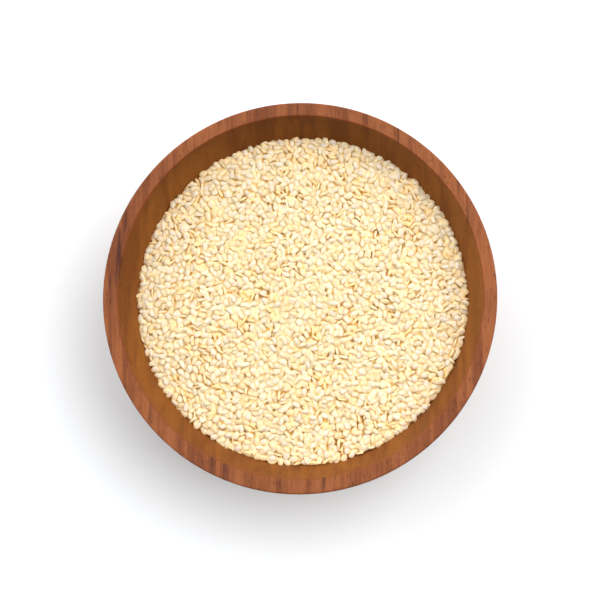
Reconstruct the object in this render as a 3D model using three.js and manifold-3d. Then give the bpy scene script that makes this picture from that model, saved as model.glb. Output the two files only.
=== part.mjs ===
// A turned wooden dish filled with hulled sesame seeds. Millimetres, +Z up.
// The origin is the centre of the flat foot that the dish stands on.
//
// Two solids: the dish, and the heap of seeds that lies in it. The seeds are too fine to be modelled one by
// one, so the heap's surface is a bed of seed-sized bumps, with a scatter of whole loose seeds fused on top.

import * as THREE from 'three';
import { mergeVertices } from 'three/addons/utils/BufferGeometryUtils.js';
import Module from 'manifold-3d';

const wasm = await Module();
wasm.setup();

// ---- Driving dimensions ----

const RIM_RADIUS = 65; // the dish is 130 across
const RIM_WIDTH = 4.8; // flat top of the wall
const DISH_HEIGHT = 45;
const FOOT_RADIUS = 29;
const BASE_THICKNESS = 6.5; // wood under the deepest point of the cavity
const RIM_EDGE = 0.6; // the eased edges of the rim
const FOOT_EDGE = 1.0; // the chamfer round the foot
const CAVITY_SHIFT = new THREE.Vector2(0.2, 0.2); // hand turned: the cavity sits a little off centre

// Bowl curves: (radius / mouth) ^ spread + (below / depth) ^ drop = 1. Two 2s make an ellipse. A smaller drop
// flares the wall more, and a larger spread makes the bottom flatter.
const OUTER_CURVE = { spread: 2.2, drop: 1.5 };
const CAVITY_CURVE = { spread: 2.2, drop: 1.35 };

const HEAP_EDGE_DEPTH = 11; // the heap meets the wall this far under the rim
const HEAP_DOME = 2.2; // how far its middle stands above its edge
const HEAP_LEAN = new THREE.Vector2(0.35, -0.25); // rise at the wall, towards +X and -Y
const HEAP_GAP = 0.35; // clearance between the heap and the wood

const SEED_LENGTH = 3.05;
const SEED_WIDTH = 1.85;
const SEED_THICKNESS = 0.9;
const SEED_TAPER = 0.32; // share of its width that a seed loses from its middle to its tip, and gains at its base
const LOOSE_SEEDS = 62;

// The bumps: their spacing and height, and how far their crowns and the low points between them lie above the
// heap's surface and stray up or down, in shares of the height, or sideways, in shares of the spacing.
const BUMP_SPACING = SEED_LENGTH;
const BUMP_HEIGHT = 0.75;
const CROWN = { lift: 0.5, upDown: 0.6, sideways: 0.42 };
const LOW_POINT = { lift: -0.5, upDown: 0.3, sideways: 0.16 };

const ROUND_STEPS = 64; // facets round the dish
const CURVE_STEPS = 8; // facets down each side of it

const CAVITY_RADIUS = RIM_RADIUS - RIM_WIDTH;
const CAVITY_DEPTH = DISH_HEIGHT - BASE_THICKNESS;
const HEAP_EDGE_LEVEL = DISH_HEIGHT - HEAP_EDGE_DEPTH;
const HEAP_RADIUS = curveRadius(CAVITY_RADIUS, HEAP_EDGE_DEPTH / CAVITY_DEPTH, CAVITY_CURVE);

// ---- Helpers ----

// Repeatable random numbers from 0 to 1, from a linear congruential generator of 32 bits.
function randomFrom(seed) {
  let state = seed;
  return () => {
    state = (Math.imul(state, 1664525) + 1013904223) >>> 0;
    return state / 4294967296;
  };
}

// A closed geometry as a manifold-3d solid.
function solidOf(geometry) {
  const bare = geometry.clone();
  bare.deleteAttribute('normal');
  bare.deleteAttribute('uv');
  const merged = mergeVertices(bare, 1e-4);
  const mesh = new wasm.Mesh({
    numProp: 3,
    vertProperties: new Float32Array(merged.attributes.position.array),
    triVerts: new Uint32Array(merged.index.array),
  });
  return new wasm.Manifold(mesh);
}

// A manifold-3d solid as a three.js geometry.
function geometryOf(solid) {
  const mesh = solid.getMesh();
  const geometry = new THREE.BufferGeometry();
  geometry.setAttribute('position', new THREE.BufferAttribute(mesh.vertProperties, 3));
  geometry.setIndex(new THREE.BufferAttribute(mesh.triVerts, 1));
  geometry.computeVertexNormals();
  return geometry;
}

// A profile of (radius, height) points, turned round the Z axis.
function turned(profile) {
  const geometry = new THREE.LatheGeometry(profile, ROUND_STEPS);
  geometry.rotateX(Math.PI / 2);
  return geometry;
}

// ---- Bowl curves ----

// The radius of a bowl curve where it has come down by `share` of its depth.
function curveRadius(mouth, share, curve) {
  return mouth * Math.pow(1 - Math.pow(share, curve.drop), 1 / curve.spread);
}

// Points along a bowl curve, from `startRadius` up to its mouth at `topLevel`.
function curvePoints(mouth, depth, curve, startRadius, topLevel) {
  const startAngle = Math.asin(Math.pow(startRadius / mouth, curve.spread / 2));
  const points = [];
  for (let i = 0; i <= CURVE_STEPS; i++) {
    const angle = startAngle + (Math.PI / 2 - startAngle) * (i / CURVE_STEPS);
    const radius = mouth * Math.pow(Math.sin(angle), 2 / curve.spread);
    const below = depth * Math.pow(Math.max(0, Math.cos(angle)), 2 / curve.drop);
    points.push(new THREE.Vector2(radius, topLevel - below));
  }
  return points;
}

// ---- The dish ----

// The full outer form, without its cavity: foot, flared side and eased rim.
function outerForm() {
  const side = DISH_HEIGHT - RIM_EDGE - FOOT_EDGE * 0.6;
  const footShare = Math.pow(1 - Math.pow(FOOT_RADIUS / RIM_RADIUS, OUTER_CURVE.spread), 1 / OUTER_CURVE.drop);
  return turned([
    new THREE.Vector2(0, 0),
    new THREE.Vector2(FOOT_RADIUS - FOOT_EDGE, 0),
    ...curvePoints(RIM_RADIUS, side / footShare, OUTER_CURVE, FOOT_RADIUS, DISH_HEIGHT - RIM_EDGE),
    new THREE.Vector2(RIM_RADIUS - RIM_EDGE * 0.3, DISH_HEIGHT - RIM_EDGE * 0.3),
    new THREE.Vector2(RIM_RADIUS - RIM_EDGE, DISH_HEIGHT),
    new THREE.Vector2(0, DISH_HEIGHT),
  ]);
}

// The space inside the dish, drawn in by `gap` all round. It runs up past the rim, so that it cuts cleanly.
function cavityForm(gap) {
  const radius = CAVITY_RADIUS - gap;
  const depth = CAVITY_DEPTH - gap - RIM_EDGE;
  return turned([
    ...curvePoints(radius, depth, CAVITY_CURVE, 0, DISH_HEIGHT - RIM_EDGE),
    new THREE.Vector2(radius + RIM_EDGE * 0.3, DISH_HEIGHT - RIM_EDGE * 0.3),
    new THREE.Vector2(radius + RIM_EDGE, DISH_HEIGHT),
    new THREE.Vector2(radius + RIM_EDGE, DISH_HEIGHT + 1),
    new THREE.Vector2(0, DISH_HEIGHT + 1),
  ]).translate(CAVITY_SHIFT.x, CAVITY_SHIFT.y, 0);
}

// ---- The heap ----

// The smooth surface that the seeds follow: a low dome that leans a little to one side.
function heapLevel(x, y) {
  const out = (x * x + y * y) / (CAVITY_RADIUS * CAVITY_RADIUS);
  const lean = (x * HEAP_LEAN.x + y * HEAP_LEAN.y) / CAVITY_RADIUS;
  return HEAP_EDGE_LEVEL + HEAP_DOME * (1 - out) + lean;
}

// A slab whose top is a bed of seed-sized bumps. Bumps stand on a jittered six-sided lattice: each has a
// crown, and shares the low points round it with its neighbours. The flat underside lies below the cavity.
function bumpSlab() {
  const random = randomFrom(20);
  const rowSpacing = (BUMP_SPACING * Math.sqrt(3)) / 2;
  const slabRadius = CAVITY_RADIUS + 2 * BUMP_SPACING;
  const reach = Math.ceil((2 * slabRadius) / (Math.sqrt(3) * rowSpacing));
  const positions = [];
  const tops = [];

  const stray = () => random() - 0.5;
  const latticePoint = (i, j, kind) => {
    const x = (i + j / 2 + stray() * kind.sideways) * BUMP_SPACING;
    const y = j * rowSpacing + stray() * kind.sideways * BUMP_SPACING;
    const z = heapLevel(x, y) + (kind.lift + stray() * kind.upDown) * BUMP_HEIGHT;
    positions.push(x, y, z);
    return positions.length / 3 - 1;
  };

  // Crowns at the lattice points, and a low point in the middle of each upright and each inverted triangle.
  const crowns = new Map();
  const uprights = new Map();
  const inverteds = new Map();
  const key = (i, j) => `${i},${j}`;
  for (let j = -reach; j <= reach; j++) {
    for (let i = -reach; i <= reach; i++) {
      if (Math.hypot((i + j / 2) * BUMP_SPACING, j * rowSpacing) > slabRadius) continue;
      crowns.set(key(i, j), latticePoint(i, j, CROWN));
      uprights.set(key(i, j), latticePoint(i + 1 / 3, j + 1 / 3, LOW_POINT));
      inverteds.set(key(i, j), latticePoint(i + 2 / 3, j + 2 / 3, LOW_POINT));
    }
  }

  for (const [name, crown] of crowns) {
    const [i, j] = name.split(',').map(Number);
    const around = [
      uprights.get(key(i, j)),
      inverteds.get(key(i - 1, j)),
      uprights.get(key(i - 1, j)),
      inverteds.get(key(i - 1, j - 1)),
      uprights.get(key(i, j - 1)),
      inverteds.get(key(i, j - 1)),
    ];
    if (around.includes(undefined)) continue;
    around.forEach((low, k) => tops.push([crown, low, around[(k + 1) % 6]]));
  }
  return closedBelow(positions, tops, -1);
}

// Closes an open sheet of triangles with a flat copy of itself at `floor`, and walls round its border.
function closedBelow(positions, tops, floor) {
  const count = positions.length / 3;
  const all = positions.slice();
  for (let v = 0; v < count; v++) all.push(positions[3 * v], positions[3 * v + 1], floor);

  const edges = new Set(tops.flatMap(([a, b, c]) => [`${a},${b}`, `${b},${c}`, `${c},${a}`]));
  const faces = tops.flatMap(([a, b, c]) => [a, b, c, c + count, b + count, a + count]);
  for (const edge of edges) {
    const [a, b] = edge.split(',').map(Number);
    if (!edges.has(`${b},${a}`)) faces.push(b, a, a + count, b, a + count, b + count);
  }
  const geometry = new THREE.BufferGeometry();
  geometry.setAttribute('position', new THREE.Float32BufferAttribute(all, 3));
  geometry.setIndex(faces);
  return geometry;
}

// One hulled sesame seed along X: a flat drop, broad at one end and pointed at the other.
function seedForm() {
  const form = new THREE.SphereGeometry(0.5, 6, 4).rotateZ(Math.PI / 2);
  const position = form.attributes.position;
  for (let v = 0; v < position.count; v++) {
    const along = position.getX(v) * 2;
    const taper = 1 - SEED_TAPER * along;
    position.setXYZ(
      v,
      position.getX(v) * SEED_LENGTH,
      position.getY(v) * SEED_WIDTH * taper,
      position.getZ(v) * SEED_THICKNESS * taper,
    );
  }
  return form;
}

// Loose seeds, bedded in the crowns. The golden angle spreads them evenly, and each is turned and tipped at random.
function looseSeeds() {
  const random = randomFrom(7);
  const goldenAngle = Math.PI * (3 - Math.sqrt(5));
  const mostTip = 0.3; // radians
  const reach = HEAP_RADIUS - SEED_LENGTH;
  const stray = (size) => (random() - 0.5) * size;
  const seeds = [];
  for (let k = 0; k < LOOSE_SEEDS; k++) {
    const radius = reach * Math.sqrt((k + 0.5) / LOOSE_SEEDS);
    const x = radius * Math.cos(k * goldenAngle) + stray(SEED_LENGTH);
    const y = radius * Math.sin(k * goldenAngle) + stray(SEED_LENGTH);
    const turn = new THREE.Euler(stray(2 * mostTip), stray(2 * mostTip), stray(2 * Math.PI), 'ZYX');
    const place = new THREE.Matrix4().makeRotationFromEuler(turn);
    place.setPosition(x, y, heapLevel(x, y) + (BUMP_HEIGHT + SEED_THICKNESS / 2) / 2);
    seeds.push(solidOf(seedForm().applyMatrix4(place)));
  }
  return seeds;
}

function heapGeometry() {
  const bed = solidOf(bumpSlab()).intersect(solidOf(cavityForm(HEAP_GAP)));
  const fused = looseSeeds().reduce((heap, seed) => heap.add(seed), bed);
  const pieces = fused.decompose().sort((a, b) => b.volume() - a.volume());
  return geometryOf(pieces[0]);
}

// ---- The scene graph ----

const dishWood = new THREE.MeshStandardMaterial({ color: 0x9c5c36, roughness: 0.55, metalness: 0 });
const seedSkin = new THREE.MeshStandardMaterial({ color: 0xf3e2b8, roughness: 0.5, metalness: 0 });

const dish = new THREE.Mesh(geometryOf(solidOf(outerForm()).subtract(solidOf(cavityForm(0)))), dishWood);
dish.name = 'wooden_dish';

const heap = new THREE.Mesh(heapGeometry(), seedSkin);
heap.name = 'sesame_seeds';

const dishOfSeeds = new THREE.Group();
dishOfSeeds.add(dish, heap);

export default dishOfSeeds;
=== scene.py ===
"""A turned wooden dish filled with hulled sesame seeds.

Metres, +Z up, with the origin at the centre of the dish's foot. The grain of the wood runs along Y, which is
the top of the picture. Every seed that shows is modelled whole, in one of six forms, with a size and a place
of its own. A seeded rule lays them on the heap one by one.
"""

import math

import bmesh
import bpy
import numpy as np
from mathutils import Matrix, Vector


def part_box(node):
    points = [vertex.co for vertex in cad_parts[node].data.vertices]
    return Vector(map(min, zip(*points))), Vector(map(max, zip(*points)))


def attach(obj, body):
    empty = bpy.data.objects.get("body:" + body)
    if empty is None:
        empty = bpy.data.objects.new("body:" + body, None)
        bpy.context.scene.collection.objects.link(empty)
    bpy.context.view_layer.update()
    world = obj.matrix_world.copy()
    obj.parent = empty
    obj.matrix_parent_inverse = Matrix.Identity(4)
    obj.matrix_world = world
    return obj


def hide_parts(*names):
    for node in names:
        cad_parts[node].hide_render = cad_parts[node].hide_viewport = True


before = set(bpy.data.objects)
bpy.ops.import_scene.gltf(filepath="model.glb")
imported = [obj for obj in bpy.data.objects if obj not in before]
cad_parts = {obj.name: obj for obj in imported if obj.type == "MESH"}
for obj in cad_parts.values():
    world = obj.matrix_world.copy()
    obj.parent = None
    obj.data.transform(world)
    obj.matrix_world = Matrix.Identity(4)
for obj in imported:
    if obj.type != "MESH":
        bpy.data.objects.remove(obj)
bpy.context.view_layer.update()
dish_low, dish_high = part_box("wooden_dish")

MM = 0.001

# ---- The dish ----

RIM_RADIUS = (dish_high.x - dish_low.x) / 2
DISH_HEIGHT = dish_high.z
RIM_WIDTH = 4.8 * MM
BASE_THICKNESS = 6.5 * MM
FOOT_RADIUS = 29 * MM
EDGE_RADIUS = 0.6 * MM  # the eased edges of the rim and the foot
CAVITY_SHIFT = Vector((0.2, 0.2, 0)) * MM
CAVITY_RADIUS = RIM_RADIUS - RIM_WIDTH
CAVITY_DEPTH = DISH_HEIGHT - BASE_THICKNESS - EDGE_RADIUS

# Bowl curves: (radius / mouth) ** spread + (below / depth) ** drop = 1.
OUTER_CURVE = {"spread": 2.2, "drop": 1.5}
CAVITY_CURVE = {"spread": 2.2, "drop": 1.35}

ROUND_STEPS = 240
CURVE_STEPS = 40
EDGE_STEPS = 5

# ---- The heap ----

# The smooth surface that the seeds fill up to: its height at the radius of the cavity's mouth, how much
# higher its middle is, and how much higher it is at that radius towards +X and towards +Y.
HEAP_EDGE_LEVEL = DISH_HEIGHT - 11 * MM
HEAP_DOME = 2.2 * MM
HEAP_LEAN = Vector((0.35, -0.25)) * MM

CORE_DEPTH = 1.3 * MM  # how far the core lies under the surface that the seeds fill up to
CORE_GAP = 0.3 * MM  # between the core and the bottom of the cavity
CORE_INSET = 1.8 * MM  # how far its side stands off the wall, where seeds lie on the wood
CORE_STEPS = 60

SEED_SIZE = Vector((3.05, 1.85, 0.9)) * MM
SEED_SEGMENTS = 8
SEED_RINGS = 6

# ---- How the seeds settle ----

RANDOM_SEED = 4
CELL = 0.16 * MM  # a cell of the height map that they are laid on
REACH = 12  # cells each way that one seed can cover
BLUR = 6  # cells each way that a local level is averaged over
EDGE_MARGIN = 0.7 * MM  # spots for seeds keep this far from where the heap meets the wall
SPOTS = 18  # random spots, of which the deepest gets the next seed
SHALLOW = 0.1 * MM  # a spot this near the heap's surface is full
POSES = 28  # random poses, of which the lowest is taken
SEED_SINK = 0.5 * MM  # how far a seed presses in among those it lies on
SEED_PROUD = 0.35 * MM  # how far its middle may stand over the heap's surface
PATIENCE = 400  # misses in a row, after which the heap is full

# Each spread is a standard deviation. A seed's length, width and thickness each get a factor near 1.
SIZE_SPREAD = 0.06
SIZE_LIMITS = (0.86, 1.14)
SPOT_SPREAD = 3.2  # cells that a pose strays from its spot
TONE_SHAPE = (2, 3)  # of the beta distribution that the seeds' tones are drawn from

# Angles in radians. A seed lies over to one side by one of these leans, each with its share of the seeds.
PITCH_SPREAD = 0.16
ROLL_SPREAD = 0.18
LEANS = [0.16, 0.55, 1.25]
LEAN_SHARES = [0.7, 0.2, 0.1]

# ---- The light and the camera ----

# The place of a light is its bearing from +X towards +Y, and its height, in degrees.
KEY_PLACE = (16, 51)
KEY_WIDTH = 58  # degrees
KEY_STRENGTH = 2.85
ROOM_PLACE = (135, 15)
ROOM_STRENGTH = 2.35
ROOM_COLOUR = (0.97, 0.985, 1.0, 1)
FLOOR_HALF_WIDTH = 2.5  # metres

CAMERA_DISTANCE = 600 * MM
CAMERA_ELEVATION = 82  # degrees
CAMERA_AZIMUTH = 22  # degrees from -Y towards +X
CAMERA_OFFSET = Vector((0.35, -1.4, 0)) * MM
CAMERA_LENS = 109.5  # millimetres, as is the sensor's width
CAMERA_SENSOR = 36


def srgb(red, green, blue):
    """A colour given as 0 to 255 on a screen, as linear values."""
    values = [channel / 255 for channel in (red, green, blue)]
    return (*[v / 12.92 if v <= 0.04045 else ((v + 0.055) / 1.055) ** 2.4 for v in values], 1.0)


# ---- Shapes ----


def curve_points(mouth, depth, curve, start_radius, top_level):
    """Points (radius, height) along a bowl curve, from start_radius up to its mouth."""
    start = math.asin((start_radius / mouth) ** (curve["spread"] / 2))
    points = []
    for i in range(CURVE_STEPS + 1):
        angle = start + (math.pi / 2 - start) * i / CURVE_STEPS
        radius = mouth * math.sin(angle) ** (2 / curve["spread"])
        below = depth * max(0.0, math.cos(angle)) ** (2 / curve["drop"])
        points.append((radius, top_level - below))
    return points


def wall_level(radius):
    """The height of the cavity's surface at a distance from its axis. Works on numbers and arrays."""
    inner = np.clip(1 - (np.asarray(radius) / CAVITY_RADIUS) ** CAVITY_CURVE["spread"], 0, 1)
    return DISH_HEIGHT - EDGE_RADIUS - CAVITY_DEPTH * inner ** (1 / CAVITY_CURVE["drop"])


def heap_level(x, y):
    """The height of the smooth surface that the seeds fill up to. Works on numbers and arrays."""
    out = (x * x + y * y) / CAVITY_RADIUS**2
    lean = (x * HEAP_LEAN.x + y * HEAP_LEAN.y) / CAVITY_RADIUS
    return HEAP_EDGE_LEVEL + HEAP_DOME * (1 - out) + lean


def eased_edge(radius, height, outward):
    """The quarter turn of the rim's edge, from the wall over to the flat, and a short way along the flat."""
    points = []
    for i in range(1, EDGE_STEPS + 1):
        turn = (math.pi / 2) * i / EDGE_STEPS
        inset = EDGE_RADIUS * (1 - math.cos(turn))
        points.append((radius - outward * inset, height - EDGE_RADIUS * (1 - math.sin(turn))))
    points.append((radius - outward * 1.4 * EDGE_RADIUS, height))
    return points


def spin_profile(bm, profile):
    """Spins a profile of (radius, height) points round the Z axis, and closes its poles."""
    chain = [bm.verts.new((radius, 0, height)) for radius, height in profile]
    edges = [bm.edges.new(pair) for pair in zip(chain, chain[1:])]
    bmesh.ops.spin(
        bm,
        geom=chain + edges,
        cent=(0, 0, 0),
        axis=(0, 0, 1),
        angle=2 * math.pi,
        steps=ROUND_STEPS,
        use_merge=True,
    )
    bmesh.ops.remove_doubles(bm, verts=bm.verts, dist=1e-7)


def finish_mesh(bm, name):
    """Turns the faces outward and makes the bmesh a smooth object at the origin."""
    bmesh.ops.recalc_face_normals(bm, faces=bm.faces)
    if bm.calc_volume(signed=True) < 0:
        bmesh.ops.reverse_faces(bm, faces=bm.faces)
    for face in bm.faces:
        face.smooth = True
    mesh = bpy.data.meshes.new(name)
    bm.to_mesh(mesh)
    bm.free()
    piece = bpy.data.objects.new(name, mesh)
    bpy.context.scene.collection.objects.link(piece)
    return piece


# ---- Materials ----

# The wood. Each pair is a pale and a deep colour.
RIM_COLOURS = (srgb(161, 94, 53), srgb(123, 66, 35))
WALL_COLOURS = (srgb(150, 90, 31), srgb(126, 71, 22))
# Painted shade on the rim's inner eased edge, where the wall turns steep and gets less light.
EASED_EDGE_SHADE = srgb(142, 70, 28)
DARK_STREAK = srgb(74, 36, 28)
DARK_FIBRE = srgb(92, 48, 28)
DARK_BLOTCH = srgb(98, 52, 26)
DARK_PORE = srgb(48, 22, 16)
DARK_MARK = srgb(60, 26, 20)
ALONG_GRAIN = 0.05  # how fast the wood's patterns change along the grain, where 1 is across it
LAYER_RISE = 0.2  # how fast the growth layers change along Z, as they stand nearly upright

# Dark marks on and near the rim: the place of each in X and Y, and its half width and half length.
WOOD_MARKS = [
    (-5.9, -60.5, 0.9, 5.0),
    (8.0, -60.5, 1.5, 6.0),
    (-27.2, 56.5, 0.9, 3.6),
    (-59.8, 17.0, 2.0, 9.0),
    (-57.8, 25.5, 1.2, 6.0),
    (-62.4, 4.0, 1.0, 8.0),
    (26.3, -61.0, 0.6, 1.8),
    (30.6, -56.5, 0.6, 1.6),
    (45.0, 44.0, 0.7, 2.4),
]

# The seeds. They go golden at their edges, on their sides and deep in the heap: painted light where light
# comes through other seeds, and painted shade between them.
# Golden edge: partly the seeds' own tint, partly painted shade in the creases where seeds meet.
GOLDEN_EDGE_TINT_AND_SHADE = srgb(243, 210, 138)
# Painted light on the seeds' sides: the golden glow of light that comes through other seeds.
PAINTED_GLOW_ON_SIDES = srgb(241, 215, 157)
# Painted shade in the holes deep among the seeds.
PAINTED_SHADE_IN_DEPTH = srgb(241, 197, 104)
# The core's colours are painted shade: seeds in the shade between the seeds that show.
CORE_SHADE_COLOURS = (srgb(232, 184, 96), srgb(210, 160, 76))
SCATTER = 1.4 * MM  # how far light spreads under a seed's skin
SCATTER_SHARES = (1.0, 0.9, 0.55)  # the shares of it that red, green and blue spread

# The kinds of seed: the share of each, and its pale and deep colour.
SEED_KINDS = {
    "ivory_seeds": (0.38, srgb(229, 215, 198), srgb(231, 214, 189)),
    "cream_seeds": (0.36, srgb(232, 215, 188), srgb(235, 213, 176)),
    "honey_seeds": (0.26, srgb(237, 211, 173), srgb(240, 206, 157)),
}

FLOOR_COLOURS = (srgb(245, 247, 248), srgb(244, 246, 247))


class Finish:
    """A material under construction: adds nodes, sets their inputs and links them."""

    def __init__(self, name):
        self.material = bpy.data.materials.new(name)
        self.material.use_nodes = True
        self.tree = self.material.node_tree
        self.shader = self.tree.nodes["Principled BSDF"]
        self.coordinates = self.tree.nodes.new("ShaderNodeTexCoord").outputs["Object"]

    def node(self, kind, inputs=(), **settings):
        """Adds a node. inputs maps an input's name or number to a value or to another node's output."""
        made = self.tree.nodes.new("ShaderNode" + kind)
        for name, value in settings.items():
            setattr(made, name, value)
        for key, value in dict(inputs).items():
            self.set(made.inputs[key], value)
        return made

    def set(self, socket, value):
        """Links another node's output to the socket, or gives the socket a value."""
        if isinstance(value, bpy.types.NodeSocket):
            self.tree.links.new(value, socket)
        else:
            socket.default_value = value

    def mapped(self, scale, shift=(0, 0, 0)):
        """Object coordinates in millimetres, times a scale for each axis, and then shifted."""
        size = [1000 * factor for factor in scale]
        inputs = {"Vector": self.coordinates, "Scale": size, "Location": shift}
        return self.node("Mapping", inputs).outputs["Vector"]

    def noise(self, vector, scale, detail=3.0, roughness=0.55, distortion=0.0):
        inputs = {"Vector": vector, "Scale": scale, "Detail": detail}
        inputs.update({"Roughness": roughness, "Distortion": distortion})
        return self.node("TexNoise", inputs).outputs["Fac"]

    def band(self, value, low, high, out_low=0.0, out_high=1.0):
        """Maps low..high to out_low..out_high with a smooth step."""
        inputs = {"Value": value, "From Min": low, "From Max": high, "To Min": out_low, "To Max": out_high}
        return self.node("MapRange", inputs, interpolation_type="SMOOTHSTEP").outputs["Result"]

    def mark(self, x, y, half_width, half_length):
        """A soft spot, long along Y, at a place in millimetres: 1 in its middle and 0 round it."""
        inputs = {"Vector": self.coordinates, "Scale": (1000 / half_width, 1000 / half_length, 0)}
        inputs["Location"] = (-x / half_width, -y / half_length, 0)
        place = self.node("Mapping", inputs).outputs["Vector"]
        distance = self.node("VectorMath", {0: place}, operation="LENGTH").outputs["Value"]
        return self.band(distance, 0.3, 1.0, 1.0, 0.0)

    def math(self, operation, *values):
        return self.node("Math", enumerate(values), operation=operation).outputs[0]

    def mix(self, factor, first, second):
        """Goes from the first colour to the second as the factor goes from 0 to 1."""
        mixer = self.tree.nodes.new("ShaderNodeMix")
        mixer.data_type = "RGBA"
        self.set(mixer.inputs[0], factor)
        self.set(mixer.inputs[6], first)
        self.set(mixer.inputs[7], second)
        return mixer.outputs[2]

    def attribute(self, name):
        return self.node("Attribute", attribute_name=name).outputs["Fac"]

    def bump(self, height, distance, strength=1.0, normal=None):
        made = self.node("Bump", {"Height": height, "Distance": distance, "Strength": strength})
        if normal is not None:
            self.tree.links.new(normal, made.inputs["Normal"])
        return made.outputs["Normal"]

    def surface(self, **inputs):
        """Sets inputs of the shader, named with _ for each space, and gives the material."""
        for name, value in inputs.items():
            self.set(self.shader.inputs[name.replace("_", " ")], value)
        return self.material


def wood_finish():
    """Oiled hardwood: layers along Y with dark streaks and short pores, more golden in the cavity, and
    painted shade on the rim's inner eased edge.
    """
    wood = Finish("oiled_hardwood")
    inside = wood.attribute("inside")
    in_cavity = wood.band(inside, 0.5, 1.0)
    on_edge = wood.math("MULTIPLY", wood.band(inside, 0.1, 0.5), wood.math("SUBTRACT", 1.0, in_cavity))

    # The shift makes the layers cross the top of the rim where they would with a rise of 1.
    rise_shift = (0, 0, (1 - LAYER_RISE) * DISH_HEIGHT / MM)
    layers = wood.mapped((1, ALONG_GRAIN, LAYER_RISE), rise_shift)
    bands = wood.noise(layers, 0.2, detail=4, roughness=0.6, distortion=0.9)
    where_streaky = wood.noise(wood.mapped((1, 0.4, 1)), 0.06, detail=2)
    streaks = wood.band(wood.noise(layers, 0.5, detail=5, roughness=0.62, distortion=0.5), 0.54, 0.68)
    streaks = wood.math("MULTIPLY", streaks, wood.band(where_streaky, 0.46, 0.6, 0.25, 1.0))
    fibres = wood.noise(wood.mapped((1, ALONG_GRAIN, 1)), 3.2, detail=3, roughness=0.6)
    pores = wood.band(wood.noise(wood.mapped((1, 0.16, 1)), 2.6, detail=3, roughness=0.6), 0.6, 0.68)
    blotches = wood.noise(wood.mapped((1, 0.5, 1)), 0.12, detail=3)

    marks = 0.0
    for x, y, half_width, half_length in WOOD_MARKS:
        marks = wood.math("MAXIMUM", marks, wood.mark(x, y, half_width, half_length))
    lines = wood.noise(wood.mapped((1, 0.09, 1)), 1.5, detail=3, roughness=0.6, distortion=0.8)
    marks = wood.math("MULTIPLY", marks, wood.band(lines, 0.42, 0.6, 0.12, 1.0))

    rim_colour = wood.mix(wood.band(bands, 0.38, 0.66), *RIM_COLOURS)
    wall_colour = wood.mix(wood.band(bands, 0.35, 0.65), *WALL_COLOURS)
    colour = wood.mix(in_cavity, rim_colour, wall_colour)
    # Painted shade: the inner eased edge of the rim goes darker and more orange.
    colour = wood.mix(wood.math("MULTIPLY", on_edge, 0.7), colour, EASED_EDGE_SHADE)

    # Each pattern that darkens the wood, its colour, and its strength outside and in the cavity.
    darker = [
        (streaks, DARK_STREAK, 0.85, 0.3),
        (wood.band(fibres, 0.3, 0.75), DARK_FIBRE, 0.35, 0.35),
        (wood.band(blotches, 0.4, 0.7), DARK_BLOTCH, 0.3, 0.16),
        (pores, DARK_PORE, 0.75, 0.3),
        (marks, DARK_MARK, 0.62, 0.2),
    ]
    for pattern, brown, outside, cavity in darker:
        strength = wood.band(in_cavity, 0, 1, outside, cavity)
        colour = wood.mix(wood.math("MULTIPLY", pattern, strength), colour, brown)

    grain = wood.bump(fibres, 0.05 * MM, 0.5)
    grain = wood.bump(wood.math("SUBTRACT", 1.0, pores), 0.12 * MM, 0.6, grain)
    roughness = wood.band(fibres, 0.3, 0.7, 0.6, 0.75)
    return wood.surface(Base_Color=colour, Roughness=roughness, Specular_IOR_Level=0.2, Normal=grain)


def seed_finish(name, pale, deep):
    """The skin of hulled seeds: each has a tone of its own and a golden edge, partly its own tint and partly
    painted shade; painted light and shade make it golden on its sides and deep in the heap.
    """
    skin = Finish(name)
    mottle = skin.noise(skin.mapped((1, 1, 1)), 1.1, detail=3)
    tone = skin.math("ADD", skin.attribute("tone"), skin.band(mottle, 0.3, 0.7, -0.2, 0.2))
    depth = skin.attribute("depth")
    colour = skin.mix(tone, pale, deep)
    # Golden edge: the seeds' own tint and painted shade in the creases.
    colour = skin.mix(skin.band(skin.attribute("edge"), 0.6, 1.0, 0.0, 0.45), colour, GOLDEN_EDGE_TINT_AND_SHADE)
    # Painted light: a golden glow on the sides, below the local level of the heap.
    colour = skin.mix(skin.band(depth, -0.3, 0.35, 0.0, 0.85), colour, PAINTED_GLOW_ON_SIDES)
    # Painted shade: darker golden deep in the holes between seeds.
    colour = skin.mix(skin.band(depth, 0.35, 0.75), colour, PAINTED_SHADE_IN_DEPTH)

    fine = skin.noise(skin.mapped((1, 1, 1)), 4.5, detail=2)
    normal = skin.bump(fine, 0.04 * MM, 0.4)
    skin.shader.subsurface_method = "BURLEY"
    skin.surface(Subsurface_Weight=1.0, Subsurface_Scale=SCATTER, Subsurface_Radius=SCATTER_SHARES)
    roughness = skin.band(fine, 0.3, 0.7, 0.42, 0.55)
    return skin.surface(Base_Color=colour, Roughness=roughness, Specular_IOR_Level=0.3, Normal=normal)


def core_finish():
    """What lies under the seeds that show: more seeds, in the shade between them, which is painted into their
    colour.
    """
    core = Finish("deep_seeds")
    grains = core.noise(core.mapped((1, 1, 1)), 0.8, detail=2)
    colour = core.mix(core.band(grains, 0.3, 0.7), *CORE_SHADE_COLOURS)
    return core.surface(Base_Color=colour, Roughness=0.8, Normal=core.bump(grains, 0.5 * MM))


def floor_finish():
    """A plain matt white, very slightly uneven."""
    floor = Finish("white_floor")
    shade = floor.noise(floor.mapped((1, 1, 1)), 0.01, detail=2)
    colour = floor.mix(floor.band(shade, 0.3, 0.7), *FLOOR_COLOURS)
    return floor.surface(Base_Color=colour, Roughness=0.9)


# ---- Pieces ----


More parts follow.
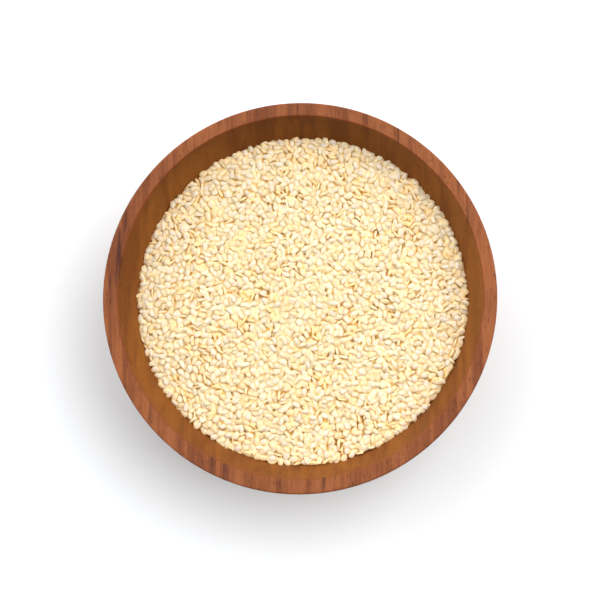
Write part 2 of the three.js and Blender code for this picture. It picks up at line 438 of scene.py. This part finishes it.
def make_dish():
    """The dish, spun from one closed profile. Its cavity is then moved a little off the outer side's axis."""
    side_top = DISH_HEIGHT - EDGE_RADIUS
    foot_top = 0.4 * EDGE_RADIUS
    foot_share = (1 - (FOOT_RADIUS / RIM_RADIUS) ** OUTER_CURVE["spread"]) ** (1 / OUTER_CURVE["drop"])
    outer_depth = (side_top - foot_top) / foot_share
    foot_radii = [0, FOOT_RADIUS / 2, FOOT_RADIUS - 2 * EDGE_RADIUS, FOOT_RADIUS - EDGE_RADIUS]
    profile = [(radius, 0) for radius in foot_radii]
    profile += curve_points(RIM_RADIUS, outer_depth, OUTER_CURVE, FOOT_RADIUS, side_top)
    profile += eased_edge(RIM_RADIUS, DISH_HEIGHT, 1)
    cavity = curve_points(CAVITY_RADIUS, CAVITY_DEPTH, CAVITY_CURVE, 0, side_top)
    cavity += eased_edge(CAVITY_RADIUS, DISH_HEIGHT, -1)
    profile += reversed(cavity)

    bm = bmesh.new()
    inside = bm.verts.layers.float.new("inside")
    spin_profile(bm, profile)
    for vertex in bm.verts:
        radius = math.hypot(vertex.co.x, vertex.co.y)
        if radius < CAVITY_RADIUS + 2 * EDGE_RADIUS and vertex.co.z > wall_level(radius) - EDGE_RADIUS:
            vertex.co += CAVITY_SHIFT
            if vertex.co.z < side_top + 0.01 * EDGE_RADIUS:
                vertex[inside] = 1.0
            elif vertex.co.z < DISH_HEIGHT - 0.01 * EDGE_RADIUS:
                vertex[inside] = 0.5
    return finish_mesh(bm, "turned_dish")


def core_side(radius):
    """The height of the core's side at a distance from the cavity's axis. Works on numbers and arrays."""
    return wall_level(radius + CORE_INSET) + CORE_GAP


def make_core():
    """The body of the heap under the seeds that show, down to the bottom of the cavity."""
    top = HEAP_EDGE_LEVEL + HEAP_DOME - CORE_DEPTH
    radii = [CAVITY_RADIUS * i / CORE_STEPS for i in range(CORE_STEPS)]
    side = [(radius, float(core_side(radius))) for radius in radii]
    profile = [point for point in side if point[1] < top]
    profile += [(radius, top) for radius, _ in reversed(profile)]
    bm = bmesh.new()
    spin_profile(bm, profile)
    for vertex in bm.verts:
        vertex.co += CAVITY_SHIFT
        if vertex.co.z > top - 1e-6:
            vertex.co.z = heap_level(vertex.co.x, vertex.co.y) - CORE_DEPTH
    return finish_mesh(bm, "seed_core")


# ---- Seeds ----

# The forms that a seed takes: its length, width and thickness in shares of the usual seed's, how much it
# narrows to its tip, how far it bows to one side, how flat its underside is, and how blunt its ends are.
SEED_FORMS = [
    {"size": (0.98, 1.10, 1.00), "taper": 0.18, "bow": 0.02, "flat": 0.85, "blunt": 2.3},
    {"size": (1.04, 1.04, 1.05), "taper": 0.22, "bow": -0.04, "flat": 0.90, "blunt": 2.2},
    {"size": (0.92, 1.15, 0.95), "taper": 0.14, "bow": 0.02, "flat": 0.80, "blunt": 2.5},
    {"size": (1.04, 1.14, 0.90), "taper": 0.25, "bow": 0.05, "flat": 0.95, "blunt": 2.2},
    {"size": (0.96, 1.00, 1.15), "taper": 0.18, "bow": -0.02, "flat": 1.00, "blunt": 2.4},
    {"size": (0.86, 1.08, 1.08), "taper": 0.10, "bow": 0.00, "flat": 0.90, "blunt": 2.6},
]


def seed_form(form):
    """One seed along X, its tip towards +X.

    Gives its vertices in shares of half its size, its faces, and how near each vertex is to its edge.
    """
    bm = bmesh.new()
    upright = Matrix.Rotation(math.pi / 2, 4, "Y")
    bmesh.ops.create_uvsphere(bm, u_segments=SEED_SEGMENTS, v_segments=SEED_RINGS, radius=1, matrix=upright)
    edges = []
    for vertex in bm.verts:
        x, y, z = vertex.co
        edges.append(math.hypot(x, y))
        round_end = math.sqrt(max(1e-9, 1 - x * x))
        full = max(0.0, 1 - abs(x) ** form["blunt"]) ** (1 / form["blunt"]) / round_end
        taper = full * (1 - form["taper"] * x)
        plump = 1.0 if z > 0 else form["flat"]
        bow = form["bow"] * (1 - 2 * x * x)
        vertex.co = (x, y * taper + bow, z * plump * taper)
    bmesh.ops.recalc_face_normals(bm, faces=bm.faces)
    bm.verts.index_update()
    vertices = np.array([v.co for v in bm.verts])
    faces = [[v.index for v in face.verts] for face in bm.faces]
    bm.free()
    return vertices, faces, np.array(edges)


class Bed:
    """A height map of what the seeds lie on: the core, the wall, and the seeds laid so far."""

    def __init__(self):
        half = int(CAVITY_RADIUS / CELL) + 2 * REACH
        self.axis = np.arange(-half, half + 1) * CELL
        x, y = np.meshgrid(self.axis, self.axis, indexing="ij")
        from_axis = np.hypot(x - CAVITY_SHIFT.x, y - CAVITY_SHIFT.y)
        self.goal = heap_level(x, y)
        on_core = core_side(from_axis) < self.goal - CORE_DEPTH
        self.surface = np.where(on_core, self.goal - CORE_DEPTH, wall_level(from_axis))
        self.owner = np.full(self.surface.shape, -1)
        self.open_cells = np.argwhere(wall_level(from_axis + EDGE_MARGIN) < self.goal)
        steps = np.arange(-REACH, REACH + 1)
        self.rows, self.columns = np.meshgrid(steps, steps, indexing="ij")
        self.patch_x = self.rows * CELL
        self.patch_y = self.columns * CELL

    def deep_cell(self, random):
        """Of some random cells, the one that lies deepest under the heap's surface, and how deep that is."""
        cells = self.open_cells[random.integers(len(self.open_cells), size=SPOTS)]
        depths = self.goal[tuple(cells.T)] - self.surface[tuple(cells.T)]
        best = int(np.argmax(depths))
        return cells[best], depths[best]

    def rest(self, size, turns, cells):
        """How a seed comes to rest in each pose: its height, the cells round it, and its top over them."""
        shape = np.einsum("kij,j,klj->kil", turns, 1 / size**2, turns)[..., None, None]
        x, y = self.patch_x, self.patch_y
        upright = shape[:, 2, 2]
        middle = -(shape[:, 0, 2] * x + shape[:, 1, 2] * y) / upright
        level = shape[:, 0, 0] * x * x + 2 * shape[:, 0, 1] * x * y + shape[:, 1, 1] * y * y - 1
        inner = middle * middle - level / upright
        covered = inner > 0
        half = np.sqrt(np.where(covered, inner, 0))
        around = (cells[:, 0, None, None] + self.rows, cells[:, 1, None, None] + self.columns)
        heights = np.where(covered, self.surface[around] - (middle - half), -1).max(axis=(1, 2)) - SEED_SINK
        return heights, around, np.where(covered, middle + half, -1)

    def local_level(self):
        """The height of the finished surface, averaged over about a seed's width round each cell."""
        width = 2 * BLUR + 1
        level = self.surface
        for axis in (0, 1):
            margins = [(0, 0), (0, 0)]
            margins[axis] = (BLUR, BLUR)
            padded = np.pad(level, margins, mode="edge")
            total = np.cumsum(np.insert(padded, 0, 0, axis=axis), axis=axis)
            count = total.shape[axis]
            last = np.take(total, range(width, count), axis=axis)
            first = np.take(total, range(count - width), axis=axis)
            level = (last - first) / width
        return level

    def cover(self, around, top, number):
        """Raises the map to a seed's top, and notes whose top it is."""
        higher = top > self.surface[around]
        rows, columns = around[0][higher], around[1][higher]
        self.surface[rows, columns] = top[higher]
        self.owner[rows, columns] = number


def rotation_matrices(yaw, pitch, roll):
    """Rotation matrices that roll about X, then pitch about Y, then turn about Z."""
    cz, sz = np.cos(yaw), np.sin(yaw)
    cy, sy = np.cos(pitch), np.sin(pitch)
    cx, sx = np.cos(roll), np.sin(roll)
    rows = [
        [cz * cy, cz * sy * sx - sz * cx, cz * sy * cx + sz * sx],
        [sz * cy, sz * sy * sx + cz * cx, sz * sy * cx - cz * sx],
        [-sy, cy * sx, cy * cx],
    ]
    return np.array(rows).transpose(2, 0, 1)


def settle_seeds(random):
    """Lays seeds one by one near deep spots, each in the lowest of some random poses.

    Gives the seeds that show, and the bed with all the seeds on it.
    """
    bed = Bed()
    laid = []
    misses = 0
    while misses < PATIENCE:
        cell, depth = bed.deep_cell(random)
        if depth < SHALLOW:
            misses += 1
            continue
        form = int(random.integers(len(SEED_FORMS)))
        scale = random.normal(1, SIZE_SPREAD, 3).clip(*SIZE_LIMITS)
        size = SEED_FORMS[form]["size"] * np.array(SEED_SIZE) / 2 * scale
        yaw = random.uniform(0, 2 * math.pi, POSES)
        pitch = random.normal(0, PITCH_SPREAD, POSES)
        lean = random.choice(LEANS, p=LEAN_SHARES)
        roll = random.normal(0, ROLL_SPREAD, POSES) + random.choice([-1, 1], POSES) * lean
        turns = rotation_matrices(yaw, pitch, roll)
        cells = cell + np.round(random.normal(0, SPOT_SPREAD, (POSES, 2))).astype(int)
        cells = cells.clip(REACH, len(bed.axis) - REACH - 1)

        heights, around, tops = bed.rest(size, turns, cells)
        best = int(np.argmin(heights - bed.goal[tuple(cells.T)]))
        row, column = cells[best]
        if heights[best] > bed.goal[row, column] + SEED_PROUD:
            misses += 1
            continue
        misses = 0
        bed.cover((around[0][best], around[1][best]), heights[best] + tops[best], len(laid))
        centre = np.array([bed.axis[row], bed.axis[column], heights[best]])
        laid.append({"form": form, "size": size, "turn": turns[best], "centre": centre})
    seen = np.unique(bed.owner[bed.owner >= 0])
    return [laid[k] for k in seen], bed


def join_seeds(name, seeds, bed, random):
    """Makes one mesh of many seeds, from arrays.

    Its attributes are each seed's tone, how near a point is to its seed's edge, and how deep it lies among
    the seeds round it, in millimetres.
    """
    forms = [seed_form(form) for form in SEED_FORMS]
    points, corners, starts, totals, tones, edges = [], [], [], [], [], []
    vertex_count = 0
    corner_count = 0
    for seed in seeds:
        vertices, faces, edge = forms[seed["form"]]
        points.append((vertices * seed["size"]) @ seed["turn"].T + seed["centre"])
        tones.append(np.full(len(vertices), random.beta(*TONE_SHAPE)))
        edges.append(edge)
        for face in faces:
            corners.extend(index + vertex_count for index in face)
            starts.append(corner_count)
            totals.append(len(face))
            corner_count += len(face)
        vertex_count += len(vertices)
    points = np.concatenate(points)
    cells = np.round(points[:, :2] / CELL).astype(int) + len(bed.axis) // 2
    depths = (bed.local_level()[cells[:, 0], cells[:, 1]] - points[:, 2]) / MM

    mesh = bpy.data.meshes.new(name)
    mesh.vertices.add(vertex_count)
    mesh.vertices.foreach_set("co", points.ravel())
    mesh.loops.add(corner_count)
    mesh.loops.foreach_set("vertex_index", corners)
    mesh.polygons.add(len(starts))
    mesh.polygons.foreach_set("loop_start", starts)
    mesh.polygons.foreach_set("loop_total", totals)
    mesh.polygons.foreach_set("use_smooth", np.ones(len(starts), bool))
    attributes = {"tone": np.concatenate(tones), "edge": np.concatenate(edges), "depth": depths}
    for label, values in attributes.items():
        layer = mesh.attributes.new(label, "FLOAT", "POINT")
        layer.data.foreach_set("value", values.astype(np.float32))
    mesh.update()
    mesh.validate()
    piece = bpy.data.objects.new(name, mesh)
    bpy.context.scene.collection.objects.link(piece)
    return piece


# ---- The studio ----


def make_floor():
    """The white ground that the dish stands on."""
    bm = bmesh.new()
    bmesh.ops.create_grid(bm, x_segments=1, y_segments=1, size=FLOOR_HALF_WIDTH)
    floor = finish_mesh(bm, "studio_floor")
    floor.data.materials.append(floor_finish())


def aim(bearing, height):
    """The direction towards a light, from its bearing and height in degrees."""
    bearing, height = math.radians(bearing), math.radians(height)
    level = math.cos(height)
    return Vector((math.cos(bearing) * level, math.sin(bearing) * level, math.sin(height)))


def make_lights():
    """A broad key from the right of the picture, and a white room, brightest towards its upper left."""
    key = bpy.data.lights.new("soft_key", "SUN")
    key.energy = KEY_STRENGTH
    key.angle = math.radians(KEY_WIDTH)
    lamp = bpy.data.objects.new("soft_key", key)
    lamp.rotation_euler = aim(*KEY_PLACE).to_track_quat("Z", "Y").to_euler()
    bpy.context.scene.collection.objects.link(lamp)

    room = bpy.data.worlds.new("white_room")
    room.use_nodes = True
    tree = room.node_tree
    background = tree.nodes["Background"]
    direction = tree.nodes.new("ShaderNodeTexCoord").outputs["Generated"]
    facing = tree.nodes.new("ShaderNodeVectorMath")
    facing.operation = "DOT_PRODUCT"
    facing.inputs[1].default_value = aim(*ROOM_PLACE)
    tree.links.new(direction, facing.inputs[0])
    strength = tree.nodes.new("ShaderNodeMapRange")
    strength.inputs["To Max"].default_value = ROOM_STRENGTH
    tree.links.new(facing.outputs["Value"], strength.inputs["Value"])
    tree.links.new(strength.outputs["Result"], background.inputs["Strength"])
    background.inputs["Color"].default_value = ROOM_COLOUR
    bpy.context.scene.world = room


def make_camera():
    """The photograph's view: nearly straight down, from a little to the front and right, with +Y up."""
    elevation = math.radians(CAMERA_ELEVATION)
    azimuth = math.radians(CAMERA_AZIMUTH)
    level = math.cos(elevation)
    away = Vector((math.sin(azimuth) * level, -math.cos(azimuth) * level, math.sin(elevation)))
    camera = bpy.data.cameras.new("camera")
    camera.sensor_width = CAMERA_SENSOR
    camera.lens = CAMERA_LENS
    camera.clip_start = 0.01
    viewer = bpy.data.objects.new("camera", camera)
    bpy.context.scene.collection.objects.link(viewer)
    right = Vector((0, 1, 0)).cross(away).normalized()
    up = away.cross(right)
    place = Matrix((right, up, away)).transposed().to_4x4()
    place.translation = Vector((0, 0, DISH_HEIGHT)) + CAMERA_OFFSET + away * CAMERA_DISTANCE
    viewer.matrix_world = place
    bpy.context.scene.camera = viewer


def main():
    bpy.context.scene.view_settings.view_transform = "Standard"
    make_floor()
    make_lights()
    make_camera()

    dish = make_dish()
    dish.data.materials.append(wood_finish())
    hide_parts("wooden_dish")

    core = make_core()
    core.data.materials.append(core_finish())
    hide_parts("sesame_seeds")

    random = np.random.default_rng(RANDOM_SEED)
    seeds, bed = settle_seeds(random)
    shares = [share for share, _, _ in SEED_KINDS.values()]
    choice = random.choice(len(SEED_KINDS), size=len(seeds), p=shares)
    pieces = [dish, core]
    for index, (name, (_, pale, deep)) in enumerate(SEED_KINDS.items()):
        chosen = [seed for seed, kind in zip(seeds, choice) if kind == index]
        piece = join_seeds(name, chosen, bed, random)
        piece.data.materials.append(seed_finish(name + "_skin", pale, deep))
        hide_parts("sesame_seeds")
        pieces.append(piece)
    for piece in pieces:
        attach(piece, "root")


main()
